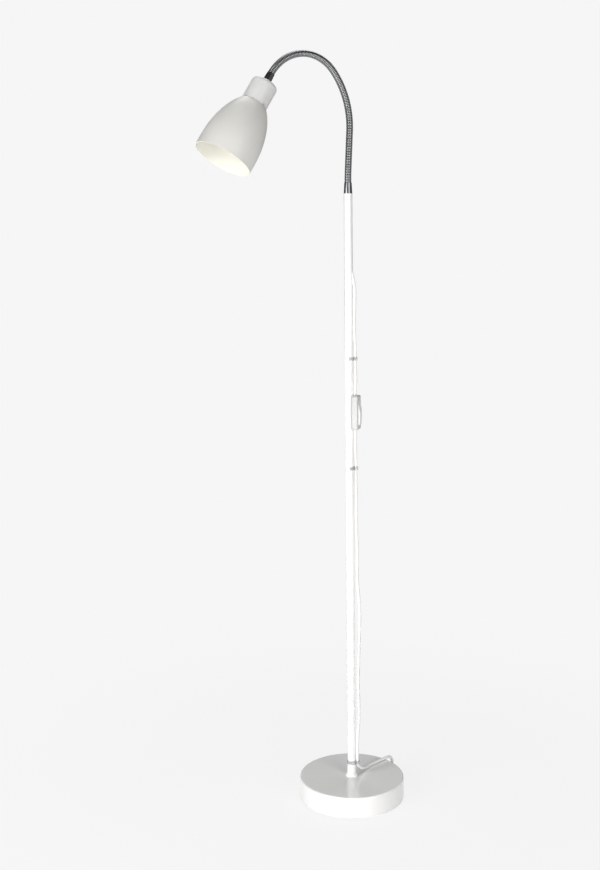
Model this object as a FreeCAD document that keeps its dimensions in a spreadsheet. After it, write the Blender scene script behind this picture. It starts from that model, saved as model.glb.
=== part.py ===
import FreeCAD, Part
import math
import os
import Sketcher
from FreeCAD import Placement, Rotation, Vector

# Gooseneck reading floor lamp, in millimetres, +Z up.
# The origin is the centre of the underside of the base pad, on the floor.
# The gooseneck reaches out along -X, in the XZ plane.

os.makedirs("parts", exist_ok=True)
doc = FreeCAD.newDocument("ReadingLamp")
sheet = doc.addObject("Spreadsheet::Sheet", "Sizes")

# Driving dimensions. Lengths are in mm, angles in degrees, and counts are whole numbers.
SIZES = {
    # fits between pieces
    "sliding_gap": 0.05,
    "seat_gap": 0.3,
    # base
    "base_radius": 100.0,
    "base_height": 38.0,
    "base_wall": 1.2,
    "base_rim_fillet": 3.0,
    "pad_thickness": 2.0,
    "pad_inset": 2.5,
    "weight_inset": 2.0,
    "weight_pocket_radius": 16.0,
    "weight_pocket_depth": 12.0,
    # foot fixing
    "stud_radius": 5.0,
    "stud_bore_radius": 3.2,
    "nut_across_flats": 17.0,
    "nut_height": 8.0,
    "washer_radius": 14.0,
    "washer_thickness": 2.0,
    "foot_flange_radius": 12.0,
    "foot_flange_height": 2.0,
    "foot_cone_height": 5.0,
    "foot_sleeve_height": 15.0,
    "foot_sleeve_wall": 0.8,
    "foot_plug_length": 26.0,
    # pole
    "pole_radius": 8.0,
    "pole_wall": 1.0,
    "pole_top": 1158.0,
    "pole_joint_height": 586.0,
    "pole_joint_gap": 0.4,
    "joint_insert_length": 28.0,
    "joint_thread_length": 18.0,
    # gooseneck
    "ferrule_length": 20.5,
    "ferrule_spigot_length": 20.0,
    "ferrule_end_radius": 6.9,
    "hose_crest_radius": 6.5,
    "hose_root_radius": 5.5,
    "hose_bore_radius": 4.0,
    "rib_pitch": 4.0,
    "rib_crest_share": 0.5,
    "rib_flank_share": 0.12,
    # neck cover and lampholder
    "neck_radius": 24.5,
    "neck_length": 46.0,
    "neck_wall": 1.5,
    "neck_corner_fillet": 7.0,
    "vent_count": 4,
    "vent_width": 5.0,
    "vent_height": 2.4,
    "holder_radius": 18.0,
    "holder_top": 8.0,
    "holder_top_wall": 5.0,
    "holder_bore_radius": 14.0,
    "holder_thread_radius": 19.6,
    "holder_flange_radius": 22.6,
    "holder_flange_thickness": 2.0,
    "holder_reach": 8.0,
    "liner_wall": 0.5,
    "liner_length": 26.0,
    "shade_ring_radius": 23.4,
    "shade_ring_height": 6.0,
    # shade
    "shade_top_radius": 24.8,
    "shade_mouth_radius": 54.3,
    "shade_length": 118.0,
    "shade_shoulder_radius": 43.9,
    "shade_shoulder_drop": 34.0,
    "shade_shoulder_bend": 109.5,
    "shade_skirt_bend": 190.0,
    "shade_straight_edge": 22.0,
    "shade_wall": 1.2,
    # lamp bulb
    "bulb_radius": 30.0,
    "bulb_length": 104.0,
    "bulb_cap_radius": 13.1,
    "bulb_cap_length": 25.0,
    "bulb_seat": 20.0,
    # cord and what is on it
    "cord_radius": 2.7,
    "cord_offset": 11.6,
    "clip_wall": 1.3,
    "clip_height": 6.0,
    "clip_loop_gap": 0.15,
    "switch_length": 65.0,
    "switch_width": 23.0,
    "switch_back_depth": 2.8,
    "switch_front_depth": 8.4,
    "switch_height": 745.5,
    "switch_corner": 2.6,
    "rocker_length": 46.0,
    "rocker_width": 14.0,
    "rocker_rise": 3.0,
    "rocker_depth": 2.6,
    "rocker_gap": 0.5,
    "rocker_pin_radius": 1.0,
    "rocker_pin_reach": 1.5,
    "rocker_well_depth": 6.2,
    "screw_radius": 1.4,
    "screw_head_radius": 2.5,
    "screw_head_depth": 1.4,
    "screw_length": 7.0,
    "screw_up": 27.0,
    "screw_across": 7.5,
    "plug_width": 24.0,
    "plug_thickness": 11.0,
    "plug_length": 24.0,
    "plug_corner": 3.0,
    "blade_width": 6.3,
    "blade_thickness": 1.5,
    "blade_length": 15.0,
    "blade_seat": 8.0,
    "blade_spacing": 12.7,
    "relief_length": 20.0,
    "relief_end_radius": 3.2,
    "relief_root_radius": 5.2,
    "tie_thickness": 0.9,
    "tie_width": 6.0,
}

for row, (alias, number) in enumerate(SIZES.items(), start=1):
    sheet.set("A%d" % row, alias)
    sheet.set("B%d" % row, str(number))
    sheet.setAlias("B%d" % row, alias)
doc.recompute()


class Size:
    """A length with the sheet expression that gives it, so that sums of sizes stay bound."""

    def __init__(self, value, text):
        self.value = value
        self.text = text

    def joined(self, other, sign, value):
        return Size(value, "(%s %s %s)" % (self.text, sign, other.text))

    def __add__(self, other):
        other = as_size(other)
        return self.joined(other, "+", self.value + other.value)

    def __sub__(self, other):
        other = as_size(other)
        return self.joined(other, "-", self.value - other.value)

    def __mul__(self, other):
        other = as_size(other)
        return self.joined(other, "*", self.value * other.value)

    def __truediv__(self, other):
        other = as_size(other)
        return self.joined(other, "/", self.value / other.value)


def as_size(number):
    """A plain number as a Size. Bound lengths carry their own text."""
    if isinstance(number, Size):
        return number
    return Size(float(number), repr(float(number)))


def size(alias):
    """The named cell of the sheet, as a Size in mm."""
    return Size(float(SIZES[alias]), "Sizes.%s" % alias)


def value(alias):
    """The named cell of the sheet, as a number."""
    return float(SIZES[alias])


ZERO = as_size(0.0)
MADE = []


def keep(obj, label):
    """Marks a document object as the sub-part that is written to parts/LABEL.step."""
    obj.Label = label
    MADE.append((label, obj))
    return obj


def bind(obj, prop, length):
    """Sets a length of an object to a Size and keeps it bound to the sheet."""
    obj.setExpression(prop, as_size(length).text)


# ---------------------------------------------------------------- sketches and turned bodies

def origin_plane(body, role):
    """One of the body's own origin planes."""
    for feature in body.Origin.OriginFeatures:
        if feature.Role == role:
            return feature
    raise ValueError(role)


def arc_centre(start, end, radius, left):
    """Centre of the arc of the given radius from start to end, on the left of the chord or the right."""
    chord = end - start
    middle = (start + end) * 0.5
    reach = math.sqrt(max(radius ** 2 - (chord.Length / 2) ** 2, 0.0))
    normal = Vector(-chord.y, chord.x, 0).normalize()
    return middle + normal * (reach if left else -reach)


def arc_edge(start, end, radius, left):
    """The shorter arc between two points, for a sketch."""
    centre = arc_centre(start, end, radius, left)
    middle = (start + end) * 0.5 - centre
    if middle.Length < 1e-6:
        middle = Vector(end.y - start.y, start.x - end.x, 0) * (1 if left else -1)
    top = centre + middle.normalize() * radius
    return Part.Arc(start, top, end)


def add_profile(body, name, role, outline):
    """A closed sketch on a plane of the body. Each corner of the outline is (x, y) in Sizes,
    or (x, y, radius, left) where an arc arrives at it. Every corner is bound to the sheet."""
    sketch = body.newObject("Sketcher::SketchObject", name)
    sketch.AttachmentSupport = (origin_plane(body, role), [""])
    sketch.MapMode = "FlatFace"
    corners = [[as_size(c[0]), as_size(c[1])] + list(c[2:]) for c in outline]
    spots = [Vector(c[0].value, c[1].value, 0) for c in corners]
    count = len(corners)
    for i in range(count):
        start, end = spots[i - 1], spots[i]
        if len(corners[i]) > 2:
            edge = arc_edge(start, end, as_size(corners[i][2]).value, corners[i][3])
            sketch.addGeometry(edge, False)
        else:
            sketch.addGeometry(Part.LineSegment(start, end), False)
    # An arc runs counter-clockwise, so its first point may be the far end of the edge.
    first, last = [], []
    for i in range(count):
        near = sketch.getPoint(i, 1).distanceToPoint(spots[i - 1]) < 1e-4
        first.append(1 if near else 2)
        last.append(2 if near else 1)
    for i in range(count):
        after = (i + 1) % count
        sketch.addConstraint(Sketcher.Constraint("Coincident", i, last[i], after, first[after]))
    for i in range(count):
        for axis, length in (("X", corners[i][0]), ("Y", corners[i][1])):
            if abs(length.value) < 1e-9:
                line = -2 if axis == "X" else -1
                sketch.addConstraint(Sketcher.Constraint("PointOnObject", i, last[i], line))
                continue
            mark = sketch.addConstraint(
                Sketcher.Constraint("Distance" + axis, -1, 1, i, last[i], length.value)
            )
            sketch.renameConstraint(mark, "corner%d%s" % (i, axis))
            sketch.setExpression("Constraints.corner%d%s" % (i, axis), length.text)
        if len(corners[i]) > 2:
            radius = as_size(corners[i][2])
            mark = sketch.addConstraint(Sketcher.Constraint("Radius", i, radius.value))
            sketch.renameConstraint(mark, "bend%d" % i)
            sketch.setExpression("Constraints.bend%d" % i, radius.text)
    return sketch


def new_body(name):
    return doc.addObject("PartDesign::Body", name)


def turned(label, outline, place=None):
    """A body of revolution about Z. The outline is (radius, height) corners."""
    body = new_body(label)
    sketch = add_profile(body, label + "_profile", "XZ_Plane", outline)
    turn = body.newObject("PartDesign::Revolution", label + "_turn")
    turn.Profile = sketch
    turn.ReferenceAxis = (sketch, ["V_Axis"])
    turn.Angle = 360.0
    body.Tip = turn
    if place is not None:
        body.Placement = place
    return body


def ring_outline(outer, inner, low, high):
    """A plain ring's half section."""
    return [(inner, low), (outer, low), (outer, high), (inner, high)]


def disc_outline(radius, low, high):
    """A plain disc's half section."""
    return [(ZERO, low), (radius, low), (radius, high), (ZERO, high)]


def padded(body, name, outline, height, role="XY_Plane"):
    """A pad on a plane of the body, square to it."""
    sketch = add_profile(body, name + "_outline", role, outline)
    pad = body.newObject("PartDesign::Pad", name)
    pad.Profile = sketch
    bind(pad, "Length", height)
    body.Tip = pad
    return pad


def edges_where(shape, wanted):
    """Names of the edges whose middle point passes the test."""
    names = []
    for i, edge in enumerate(shape.Edges, start=1):
        spot = edge.valueAt((edge.FirstParameter + edge.LastParameter) / 2)
        if wanted(edge, spot):
            names.append("Edge%d" % i)
    return names


def rounded(body, name, radius, wanted):
    """A fillet on the edges of the body's tip that pass the test."""
    doc.recompute()
    base = body.Tip
    fillet = body.newObject("PartDesign::Fillet", name)
    fillet.Base = (base, edges_where(base.Shape, wanted))
    bind(fillet, "Radius", radius)
    body.Tip = fillet
    return fillet


def drilled(body, name, spots, radius, low, depth, role="XY_Plane", both=False):
    """Round holes in the body, square to one of its planes, from a height and up or both ways."""
    sketch = body.newObject("Sketcher::SketchObject", name + "_marks")
    sketch.AttachmentSupport = (origin_plane(body, role), [""])
    sketch.MapMode = "FlatFace"
    radius = as_size(radius)
    for i, (x, y) in enumerate(spots):
        x, y = as_size(x), as_size(y)
        ring = Part.Circle(Vector(x.value, y.value, 0), Vector(0, 0, 1), radius.value)
        sketch.addGeometry(ring, False)
        for axis, length in (("X", x), ("Y", y)):
            if abs(length.value) < 1e-9:
                line = -2 if axis == "X" else -1
                sketch.addConstraint(Sketcher.Constraint("PointOnObject", i, 3, line))
                continue
            mark = sketch.addConstraint(
                Sketcher.Constraint("Distance" + axis, -1, 1, i, 3, length.value))
            sketch.renameConstraint(mark, "spot%d%s" % (i, axis))
            sketch.setExpression("Constraints.spot%d%s" % (i, axis), length.text)
        mark = sketch.addConstraint(Sketcher.Constraint("Radius", i, radius.value))
        sketch.renameConstraint(mark, "radius%d" % i)
        sketch.setExpression("Constraints.radius%d" % i, radius.text)
    sketch.setExpression("AttachmentOffset.Base.z", as_size(low).text)
    hole = body.newObject("PartDesign::Pocket", name)
    hole.Profile = sketch
    bind(hole, "Length", depth)
    hole.Midplane = both
    hole.Reversed = not both
    body.Tip = hole
    return hole


def cylinder(name, radius, height, place):
    """A Part cylinder along its own Z."""
    obj = doc.addObject("Part::Cylinder", name)
    bind(obj, "Radius", radius)
    bind(obj, "Height", height)
    obj.Placement = place
    return obj


def block(name, length, width, height, place):
    """A Part box with one corner at its placement."""
    obj = doc.addObject("Part::Box", name)
    bind(obj, "Length", length)
    bind(obj, "Width", width)
    bind(obj, "Height", height)
    obj.Placement = place
    return obj


def cut(name, base, tool):
    obj = doc.addObject("Part::Cut", name)
    obj.Base = base
    obj.Tool = tool
    return obj


def fuse(name, first, second):
    obj = doc.addObject("Part::Fuse", name)
    obj.Base = first
    obj.Tool = second
    return obj


def solid(label, shape, place=None):
    """A sub-part whose shape is worked out below from the sheet's sizes."""
    obj = doc.addObject("Part::Feature", label)
    obj.Shape = shape
    if place is not None:
        obj.Placement = place
    return keep(obj, label)


def about_z(angle):
    return Rotation(Vector(0, 0, 1), angle)


# The side of the pole that the cord runs down, and the direction from the base to the hank.
SIDE_ANGLE = -53.0
BACK_ANGLE = -35.0


def on_side(out, along, up):
    """A point beside the pole: outward from its axis on the cord's side, sideways, and up."""
    return about_z(SIDE_ANGLE).multVec(Vector(out, along, up))


def behind(across, back, up):
    """A point around the base: across and backwards, as the hank lies, and up."""
    return about_z(BACK_ANGLE).multVec(Vector(across, back, up))


# ---------------------------------------------------------------- base

gap = size("sliding_gap")
base_radius = size("base_radius")
base_height = size("base_height")
base_wall = size("base_wall")
pad_top = size("pad_thickness")
under_top = base_height - base_wall
stud_radius = size("stud_radius")
stud_hole = stud_radius + gap


def make_base():
    # The pressed cover stands just clear of the floor, around the pad.
    shell = turned("base_shell", [
        (stud_hole, under_top),
        (base_radius - base_wall, under_top),
        (base_radius - base_wall, size("seat_gap")),
        (base_radius, size("seat_gap")),
        (base_radius, base_height),
        (stud_hole, base_height),
    ])
    rim = value("base_radius")
    top = value("base_height")
    rounded(shell, "base_shell_rim", size("base_rim_fillet"),
            lambda edge, spot: spot.z > top - 0.01 and math.hypot(spot.x, spot.y) > rim - 0.01)
    keep(shell, "base_shell")

    pocket_radius = size("weight_pocket_radius")
    pocket_top = pad_top + size("weight_pocket_depth")
    weight = turned("base_weight", [
        (pocket_radius, pad_top),
        (base_radius - size("weight_inset"), pad_top),
        (base_radius - size("weight_inset"), under_top - size("base_rim_fillet")),
        (base_radius - size("weight_inset") - size("base_rim_fillet"), under_top),
        (stud_hole, under_top),
        (stud_hole, pocket_top),
        (pocket_radius, pocket_top),
    ])
    keep(weight, "base_weight")

    pad = turned("base_pad", disc_outline(base_radius - size("pad_inset"), ZERO, pad_top))
    keep(pad, "base_pad")

    washer_low = pocket_top - size("washer_thickness")
    washer = turned("base_washer",
                    ring_outline(size("washer_radius"), stud_hole, washer_low, pocket_top))
    keep(washer, "base_washer")
    keep(hex_nut("base_nut", size("nut_across_flats"), size("nut_height"), stud_hole,
                 washer_low - size("nut_height")), "base_nut")

    stud = turned("base_stud", ring_outline(
        stud_radius, size("stud_bore_radius"),
        washer_low - size("nut_height"), base_height + size("foot_plug_length")))
    keep(stud, "base_stud")


def hex_nut(name, across_flats, height, hole, low):
    """A hexagonal nut on the Z axis, with its low face at the given height."""
    body = new_body(name)
    half = across_flats / 2
    long = across_flats / math.sqrt(3)
    short = long / 2
    sketch = body.newObject("Sketcher::SketchObject", name + "_outline")
    sketch.AttachmentSupport = (origin_plane(body, "XY_Plane"), [""])
    sketch.MapMode = "FlatFace"
    ring = [(long, ZERO), (short, half), (short * -1, half),
            (long * -1, ZERO), (short * -1, half * -1), (short, half * -1)]
    spots = [Vector(x.value, y.value, 0) for x, y in ring]
    for i in range(6):
        sketch.addGeometry(Part.LineSegment(spots[i - 1], spots[i]), False)
    for i in range(6):
        sketch.addConstraint(Sketcher.Constraint("Coincident", i, 2, (i + 1) % 6, 1))
    guide = sketch.addGeometry(Part.Circle(Vector(0, 0, 0), Vector(0, 0, 1), long.value), True)
    sketch.addConstraint(Sketcher.Constraint("Coincident", guide, 3, -1, 1))
    for i in range(6):
        sketch.addConstraint(Sketcher.Constraint("PointOnObject", i, 2, guide))
    for i in range(1, 6):
        sketch.addConstraint(Sketcher.Constraint("Equal", 0, i))
    sketch.addConstraint(Sketcher.Constraint("PointOnObject", 0, 2, -1))
    mark = sketch.addConstraint(Sketcher.Constraint("Radius", guide, long.value))
    sketch.renameConstraint(mark, "corner_radius")
    sketch.setExpression("Constraints.corner_radius", long.text)
    bore = sketch.addGeometry(Part.Circle(Vector(0, 0, 0), Vector(0, 0, 1), hole.value), False)
    sketch.addConstraint(Sketcher.Constraint("Coincident", bore, 3, -1, 1))
    mark = sketch.addConstraint(Sketcher.Constraint("Radius", bore, hole.value))
    sketch.renameConstraint(mark, "bore_radius")
    sketch.setExpression("Constraints.bore_radius", hole.text)
    pad = body.newObject("PartDesign::Pad", name + "_pad")
    pad.Profile = sketch
    bind(pad, "Length", height)
    body.Tip = pad
    body.Placement = Placement(Vector(0, 0, low.value), Rotation())
    body.setExpression("Placement.Base.z", low.text)
    return body


# ---------------------------------------------------------------- pole

pole_radius = size("pole_radius")
pole_bore = pole_radius - size("pole_wall")
plug_radius = pole_bore - gap
pole_bottom = base_height + size("foot_flange_height") + size("foot_cone_height") / 2
joint_height = size("pole_joint_height")
upper_bottom = joint_height + size("pole_joint_gap")
pole_top = size("pole_top")
sleeve_radius = pole_radius + gap + size("foot_sleeve_wall")

# The cord leaves the upper pole through a slim slanted sleeve.
OUTLET_ABOVE_SWITCH = 242.5
OUTLET_HEIGHT = value("switch_height") + OUTLET_ABOVE_SWITCH
OUTLET_SLANT = 12.0
OUTLET_LENGTH = 24.0
bush_radius = size("cord_radius") + 0.3


def outlet_place():
    """The bush's axis runs outward and down, and its outer face is the placement's origin."""
    slant = Rotation(Vector(0, 1, 0), 180.0 - OUTLET_SLANT)
    return Placement(on_side(outlet_out(), 0, OUTLET_HEIGHT), about_z(SIDE_ANGLE).multiply(slant))


def outlet_out():
    """Distance from the pole's axis to the centre of the bush's outer face."""
    return value("pole_radius") + value("cord_radius") + 0.1


def make_pole():
    cone_top = base_height + size("foot_flange_height") + size("foot_cone_height")
    collar = turned("foot_collar", [
        (stud_hole, base_height),
        (size("foot_flange_radius"), base_height),
        (size("foot_flange_radius"), base_height + size("foot_flange_height")),
        (sleeve_radius, cone_top),
        (sleeve_radius, cone_top + size("foot_sleeve_height")),
        (pole_radius + gap, cone_top + size("foot_sleeve_height")),
        (pole_radius + gap, pole_bottom),
        (stud_hole, pole_bottom),
    ])
    keep(collar, "foot_collar")

    lower = turned("lower_pole", ring_outline(pole_radius, pole_bore, pole_bottom, joint_height))
    keep(lower, "lower_pole")

    foot_plug = turned("pole_foot_plug", ring_outline(
        plug_radius, stud_hole, pole_bottom, pole_bottom + size("foot_plug_length")))
    keep(foot_plug, "pole_foot_plug")

    socket = turned("pole_joint_socket", ring_outline(
        plug_radius, stud_hole, joint_height - size("joint_insert_length"), joint_height))
    keep(socket, "pole_joint_socket")

    # The spigot has a thin collar that shows as the line between the tubes, and a threaded end.
    thread_low = joint_height - size("joint_thread_length")
    spigot = turned("pole_joint_spigot", [
        (size("stud_bore_radius"), thread_low),
        (stud_radius, thread_low),
        (stud_radius, joint_height),
        (pole_radius - size("seat_gap"), joint_height),
        (pole_radius - size("seat_gap"), upper_bottom),
        (plug_radius, upper_bottom),
        (plug_radius, upper_bottom + size("joint_insert_length")),
        (size("stud_bore_radius"), upper_bottom + size("joint_insert_length")),
    ])
    keep(spigot, "pole_joint_spigot")

    tube = turned("upper_pole_tube", ring_outline(pole_radius, pole_bore, upper_bottom, pole_top))
    drill = cylinder("outlet_hole", bush_radius + gap, as_size(OUTLET_LENGTH + 2.0),
                     outlet_place().multiply(Placement(Vector(0, 0, -OUTLET_LENGTH), Rotation())))
    upper = cut("upper_pole", tube, drill)
    keep(upper, "upper_pole")
    # The sleeve is moulded on the cord. Its inner end stays inside the tube.
    bush = cylinder("cord_outlet", bush_radius, as_size(OUTLET_LENGTH),
                    outlet_place().multiply(Placement(Vector(0, 0, -OUTLET_LENGTH), Rotation())))
    keep(bush, "cord_outlet")


# ---------------------------------------------------------------- gooseneck

# The hose's centre line from the pole's top, as (length, turn towards the head in degrees).
# It leans back a little out of the ferrule, then comes over in three bends.
HOSE_BENDS = [(25.0, -3.1), (70.3, 0.0), (117.0, 42.2), (79.4, 56.6), (78.2, 50.6)]
# Where the hose gives: distances along its centre line from the pole's top.
HOSE_JOINTS = (20.5, 130.0, 220.0, 310.0)


class Line2D:
    """The centre line of the gooseneck in the plane of the arm: x is towards +X, z is up."""

    def __init__(self):
        self.pieces = []
        x, z, heading, start = 0.0, value("pole_top"), 0.0, 0.0
        bends = [(value("ferrule_length"), 0.0)] + HOSE_BENDS + [(value("ferrule_length"), 0.0)]
        for length, turn in bends:
            self.pieces.append((start, length, math.radians(turn), x, z, heading))
            x, z, heading = self.walk(x, z, heading, length, length, math.radians(turn))
            start += length
        self.length = start

    def walk(self, x, z, heading, distance, length, turn):
        """The point and heading after some distance along one bend."""
        if abs(turn) < 1e-9:
            return x - distance * math.sin(heading), z + distance * math.cos(heading), heading
        radius = length / turn
        after = heading + distance / radius
        return (
            x - radius * (math.cos(heading) - math.cos(after)),
            z + radius * (math.sin(after) - math.sin(heading)),
            after,
        )

    def at(self, distance):
        """The point and the heading from straight up, in radians, at a distance along the line."""
        for start, length, turn, x, z, heading in self.pieces:
            if distance <= start + length + 1e-9:
                break
        return self.walk(x, z, heading, distance - start, length, turn)

    def place(self, distance):
        """A placement on the line whose Z runs along it and whose X is the row's Y."""
        x, z, heading = self.at(distance)
        along = Vector(-math.sin(heading), 0, math.cos(heading))
        side = Vector(0, 1, 0)
        return Placement(Vector(x, 0, z), Rotation(side, along.cross(side), along, "ZXY"))


hose_line = Line2D()
hose_end = hose_line.length - value("ferrule_length")


def ring_wire(place, radius):
    """A circle square to the gooseneck's centre line, with a steady X axis."""
    circle = Part.Circle(place.Base, place.Rotation.multVec(Vector(0, 0, 1)), radius)
    circle.XAxis = place.Rotation.multVec(Vector(1, 0, 0))
    return Part.Wire([circle.toShape()])


def bore_path(start, end):
    """The centre line between two distances, as lines and arcs."""
    edges = []
    stops = [s for s, _, _, _, _, _ in hose_line.pieces if start < s < end]
    stops = [start] + stops + [end]
    for near, far in zip(stops, stops[1:]):
        spots = [hose_line.place(d).Base for d in (near, (near + far) / 2, far)]
        turn = hose_line.at(far)[2] - hose_line.at(near)[2]
        if abs(turn) < 1e-9:
            edges.append(Part.LineSegment(spots[0], spots[2]).toShape())
        else:
            edges.append(Part.Arc(*spots).toShape())
    return Part.Wire(edges)


def ribbed_hose(start, end):
    """A stretch of hose: a rib every pitch, each a ruled loft through four circles, and its bore."""
    count = max(2, round((end - start) / value("rib_pitch")))
    pitch = (end - start) / count
    crest = pitch * value("rib_crest_share")
    flank = pitch * value("rib_flank_share")
    groove = (pitch - crest - 2 * flank) / 2
    sections = []
    for i in range(count):
        low = start + i * pitch
        if i == 0:
            sections.append((low, value("hose_root_radius")))
        sections.append((low + groove, value("hose_root_radius")))
        sections.append((low + groove + flank, value("hose_crest_radius")))
        sections.append((low + groove + flank + crest, value("hose_crest_radius")))
        sections.append((low + pitch - groove, value("hose_root_radius")))
    sections.append((end, value("hose_root_radius")))
    wires = [ring_wire(hose_line.place(d), r) for d, r in sections]
    skin = Part.makeLoft(wires, True, True)
    core = bore_path(start, end).makePipeShell(
        [ring_wire(hose_line.place(start), value("hose_bore_radius"))], True, False)
    return skin.cut(core)


def make_gooseneck():
    # Lower ferrule: a spigot in the pole's top and a plain cone that the hose is pressed into.
    spigot_low = pole_top - size("ferrule_spigot_length")
    lower = turned("lower_ferrule", [
        (size("hose_bore_radius"), spigot_low),
        (plug_radius, spigot_low),
        (plug_radius, pole_top),
        (pole_radius, pole_top),
        (size("ferrule_end_radius"), pole_top + size("ferrule_length")),
        (size("hose_bore_radius"), pole_top + size("ferrule_length")),
    ])
    keep(lower, "lower_ferrule")
    stops = list(HOSE_JOINTS) + [hose_end]
    for i, (start, end) in enumerate(zip(stops, stops[1:]), start=1):
        solid("gooseneck_%d" % i, ribbed_hose(start, end))
    # Upper ferrule: the same cone the other way round, with the thread that holds the head.
    upper = turned("upper_ferrule", [
        (size("hose_bore_radius"), ZERO),
        (size("ferrule_end_radius"), ZERO),
        (pole_radius, size("ferrule_length")),
        (stud_radius, size("ferrule_length")),
        (stud_radius, size("ferrule_length") + size("holder_top") + size("holder_top_wall")),
        (size("hose_bore_radius"),
         size("ferrule_length") + size("holder_top") + size("holder_top_wall")),
    ], hose_line.place(hose_end))
    keep(upper, "upper_ferrule")


# ---------------------------------------------------------------- head

head_place = hose_line.place(hose_line.length)
neck_length = size("neck_length")
neck_inner = size("neck_radius") - size("neck_wall")
holder_low = neck_length + size("holder_reach")


def make_neck():
    body = turned("neck_cup", [
        (stud_hole, ZERO),
        (size("neck_radius"), ZERO),
        (size("neck_radius"), neck_length),
        (neck_inner, neck_length),
        (neck_inner, size("neck_wall")),
        (stud_hole, size("neck_wall")),
    ])
    outer, inner = value("neck_radius"), value("neck_radius") - value("neck_wall")
    rounded(body, "neck_corner", size("neck_corner_fillet"),
            lambda edge, spot: spot.z < 0.01 and math.hypot(spot.x, spot.y) > outer - 0.01)
    rounded(body, "neck_inner_corner", size("neck_corner_fillet") - size("neck_wall"),
            lambda edge, spot: 0.1 < spot.z < value("neck_wall") + 0.01
            and math.hypot(spot.x, spot.y) > inner - 0.01)
    # Vents: notches in the rim, spread evenly, each through one side of the wall.
    sketch = add_profile(body, "vent_outline", "XY_Plane", [
        (neck_inner - size("neck_wall"), size("vent_width") / -2),
        (size("neck_radius") + size("neck_wall"), size("vent_width") / -2),
        (size("neck_radius") + size("neck_wall"), size("vent_width") / 2),
        (neck_inner - size("neck_wall"), size("vent_width") / 2),
    ])
    sketch.setExpression("AttachmentOffset.Base.z", (neck_length - size("vent_height")).text)
    pocket = body.newObject("PartDesign::Pocket", "vent")
    pocket.Profile = sketch
    bind(pocket, "Length", size("vent_height") * 2)
    pocket.Reversed = True
    body.Tip = pocket
    doc.recompute()
    pattern = body.newObject("PartDesign::PolarPattern", "vents")
    pattern.Originals = [pocket]
    pattern.Axis = (sketch, ["N_Axis"])
    pattern.Angle = 360.0
    pattern.Occurrences = int(value("vent_count"))
    pattern.setExpression("Occurrences", "Sizes.vent_count")
    body.Tip = pattern
    body.Placement = head_place.multiply(Placement(Vector(0, 0, 0), about_z(VENT_TURN)))
    keep(body, "neck_cover")


# The vents lie this far round from the plane of the arm.
VENT_TURN = 76.0


def make_lampholder():
    keep(placed(hex_nut("neck_nut", size("nut_across_flats"), size("nut_height") / 2, stud_hole,
                        size("neck_wall")), head_place), "neck_nut")
    flange_low = neck_length - size("holder_flange_thickness")
    holder = turned("lampholder", [
        (stud_hole, size("holder_top")),
        (size("holder_radius"), size("holder_top")),
        (size("holder_radius"), flange_low),
        (size("holder_flange_radius"), flange_low),
        (size("holder_flange_radius"), neck_length),
        (size("holder_thread_radius"), neck_length),
        (size("holder_thread_radius"), holder_low),
        (size("holder_bore_radius"), holder_low),
        (size("holder_bore_radius"), size("holder_top") + size("holder_top_wall")),
        (stud_hole, size("holder_top") + size("holder_top_wall")),
    ], head_place)
    keep(holder, "lampholder")

    liner_radius = size("holder_bore_radius") - gap
    liner_low = holder_low - size("liner_wall") - size("liner_length")
    liner = turned("lampholder_liner", ring_outline(
        liner_radius, liner_radius - size("liner_wall"),
        liner_low, liner_low + size("liner_length")), head_place)
    keep(liner, "lampholder_liner")

    seat = size("bulb_seat")
    contact_top = size("holder_top") + size("holder_top_wall")
    contact = turned("lampholder_contact", [
        (stud_hole, contact_top),
        (size("holder_bore_radius") - size("seat_gap") * 4, contact_top),
        (size("holder_bore_radius") - size("seat_gap") * 4, contact_top + 3.0),
        (stud_radius - 1.0, contact_top + 3.0),
        (stud_radius - 2.0, seat - size("seat_gap")),
        (ZERO, seat - size("seat_gap")),
        (ZERO, contact_top + 2.0),
        (stud_radius - 1.5, contact_top + 2.0),
    ], head_place)
    keep(contact, "lampholder_contact")

    ring_low = neck_length + size("shade_wall")
    ring = turned("shade_ring", ring_outline(
        size("shade_ring_radius"), size("holder_thread_radius") + gap,
        ring_low, ring_low + size("shade_ring_height")), head_place)
    keep(ring, "shade_ring")


def placed(obj, place):
    """Moves an object that already sits along Z onto another placement."""
    low = obj.Placement.Base.z
    obj.setExpression("Placement.Base.z", None)
    obj.Placement = place.multiply(Placement(Vector(0, 0, low), Rotation()))
    return obj


def make_shade():
    """The spun shade: a flat top clamped by the ring, a round shoulder and a nearly straight skirt."""
    wall = size("shade_wall")
    top = size("shade_top_radius")
    shoulder = size("shade_shoulder_radius")
    drop = neck_length + size("shade_shoulder_drop")
    mouth = size("shade_mouth_radius")
    low = neck_length + size("shade_length")
    edge = low - size("shade_straight_edge")
    first, second = size("shade_shoulder_bend"), size("shade_skirt_bend")
    shade = turned("shade", [
        (size("holder_thread_radius") + gap, neck_length + gap),
        (top, neck_length + gap),
        (shoulder, drop, first, True),
        (mouth, edge, second, True),
        (mouth, low),
        (mouth - wall, low),
        (mouth - wall, edge),
        (shoulder - wall * 0.945, drop + wall * 0.327, second - wall, False),
        (top - wall * 0.5, neck_length + wall, first - wall, False),
        (size("holder_thread_radius") + gap, neck_length + wall),
    ], head_place)
    keep(shade, "shade")


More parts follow.
